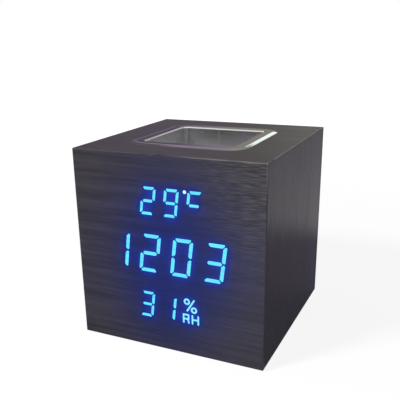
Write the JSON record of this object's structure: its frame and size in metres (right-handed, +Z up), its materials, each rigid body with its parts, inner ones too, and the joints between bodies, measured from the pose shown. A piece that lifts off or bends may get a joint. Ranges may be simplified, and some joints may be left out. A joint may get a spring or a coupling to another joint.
{
  "type": "desk clock with pen cup",
  "caption": "Black wood-grain cube desk clock with a chrome pen cup in its top and glowing cyan segment digits for time, temperature and humidity on its front.",
  "frame": {"origin": "bottom centre, in the plane of the foot pads", "axes": "+Z up, the display faces -Y, +X to the right as seen from the front"},
  "size_m": [0.1, 0.1, 0.101],
  "materials": {
    "wood_film": "satin black-stained wood grain",
    "raw_board": "bare fibreboard",
    "chrome_plate": "bright plating on moulded plastic",
    "reflector": "white reflector plastic",
    "lit_guide": "light guide, lit cyan",
    "clear_resin": "milky resin",
    "circuit_board": "green solder mask",
    "steel": "zinc-plated steel",
    "chip_black": "moulded component plastic",
    "white_nylon": "natural nylon",
    "ribbon_jacket": "grey cable jacket",
    "lead_jacket": "red cable jacket",
    "black_plastic": "fine-textured black moulding",
    "foot_rubber": "soft foot pad",
    "cell_jacket": "printed jacket, plain",
    "contact_metal": "nickel-plated spring steel"
  },
  "bodies": {
    "case": {"front_veneer": "wood_film", "left_panel": "wood_film", "right_panel": "wood_film", "back_panel": "wood_film", "top_panel": "wood_film", "front_panel": "raw_board", "base_cleats": "raw_board", "pen_cup": "chrome_plate", "display_housing": "reflector", "time_segments": "lit_guide", "temperature_segments": "lit_guide", "humidity_segments": "lit_guide", "sign_lens": "lit_guide", "idle_segments": "clear_resin", "led_chips": "clear_resin", "display_board": "circuit_board", "key_board": "circuit_board", "display_screws": "steel", "key_board_screws": "steel", "base_screws": "steel", "crystal": "steel", "power_socket": "steel", "clock_chip": "chip_black", "key_switches": "chip_black", "buzzer": "chip_black", "display_connector": "white_nylon", "key_connector": "white_nylon", "key_board_spacers": "white_nylon", "climate_sensor": "white_nylon", "ribbon_cable": "ribbon_jacket", "battery_leads": "lead_jacket", "base_plate": "black_plastic", "foot_pads": "foot_rubber", "battery_cells": "cell_jacket", "battery_springs": "contact_metal", "contact_bridges": "contact_metal", "contact_terminals": "contact_metal"},
    "set_button": {"set_button": "black_plastic", "set_plunger": "white_nylon"},
    "up_button": {"up_button": "black_plastic", "up_plunger": "white_nylon"},
    "down_button": {"down_button": "black_plastic", "down_plunger": "white_nylon"},
    "battery_door": {"battery_door": "black_plastic"}
  },
  "joints": [
    {"name": "set_press", "type": "slide", "parent": "case", "child": "set_button", "axis": [0, -1, 0], "range_m": [0, 0.0006], "stiffness_N_per_m": 1500, "springref_m": -0.0003},
    {"name": "up_press", "type": "slide", "parent": "case", "child": "up_button", "axis": [0, -1, 0], "range_m": [0, 0.0006], "stiffness_N_per_m": 1500, "springref_m": -0.0003},
    {"name": "down_press", "type": "slide", "parent": "case", "child": "down_button", "axis": [0, -1, 0], "range_m": [0, 0.0006], "stiffness_N_per_m": 1500, "springref_m": -0.0003},
    {"name": "battery_door_hinge", "type": "hinge", "parent": "case", "child": "battery_door", "pos_m": [0, 0.01725, 0.0018], "axis": [1, 0, 0], "range_deg": [0, 90]}
  ]
}
